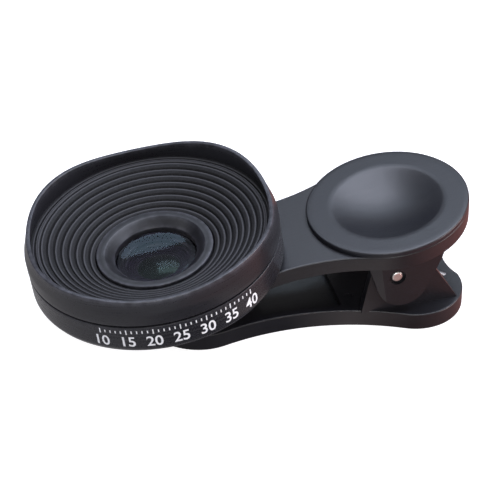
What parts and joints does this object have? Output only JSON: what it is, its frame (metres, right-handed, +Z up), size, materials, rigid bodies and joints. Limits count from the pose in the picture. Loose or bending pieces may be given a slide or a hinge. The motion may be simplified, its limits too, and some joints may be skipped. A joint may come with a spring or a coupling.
{
  "type": "clip on phone lens",
  "caption": "Wide angle lens screwed on a macro lens, carried by a sprung clip whose padded jaws open when the round thumb end is pressed.",
  "frame": {"origin": "on the ground, straight under the middle of the pivot pin", "axes": "+X towards the thumb end, +Z up, +Y across the clip along the pin"},
  "size_m": [0.0785, 0.0442, 0.0257],
  "materials": {
    "clip_plastic": "satin moulded, black",
    "cap_plastic": "satin moulded, black",
    "pad_rubber": "soft moulded, black",
    "macro_metal": "black anodised, satin",
    "hood_metal": "black anodised, satin, bright rim edge",
    "barrel_metal": "black anodised, matt",
    "retainer_metal": "black anodised, turned",
    "baffle_plastic": "dead matt black",
    "socket_brass": "turned, unplated",
    "pin_steel": "plain drawn bar, bright ends",
    "spring_steel": "drawn spring wire, bright",
    "lens_glass": "polished, thin coating"
  },
  "bodies": {
    "base": {"lower_jaw": "clip_plastic", "lower_pad": "pad_rubber", "torsion_spring": "spring_steel"},
    "clip_top": {"upper_jaw": "clip_plastic", "thumb_cap": "cap_plastic", "socket_ring": "socket_brass", "upper_pad": "pad_rubber", "pivot_pin": "pin_steel"},
    "macro_lens": {"macro_barrel": "macro_metal", "macro_glass": "lens_glass", "macro_retainer": "retainer_metal"},
    "wide_lens": {"lens_hood": "hood_metal", "ridge_baffle": "baffle_plastic", "wide_barrel": "barrel_metal", "front_retainer": "retainer_metal", "front_glass": "lens_glass", "lens_spacer": "baffle_plastic", "rear_crown": "lens_glass", "rear_flint": "lens_glass", "rear_retainer": "retainer_metal"}
  },
  "joints": [
    {"name": "jaw_pivot", "type": "hinge", "parent": "base", "child": "clip_top", "pos_m": [0, 0, 0.0114], "axis": [0, 1, 0], "range_deg": [0, 25], "stiffness_Nm_per_rad": 0.12, "springref_deg": -40.11, "deforming": ["torsion_spring"]},
    {"name": "macro_unscrew", "type": "slide", "parent": "clip_top", "child": "macro_lens", "axis": [-0.1409, 0, 0.99], "range_m": [0, 0.006]},
    {"name": "wide_unscrew", "type": "slide", "parent": "macro_lens", "child": "wide_lens", "axis": [-0.1409, 0, 0.99], "range_m": [0, 0.009]}
  ]
}
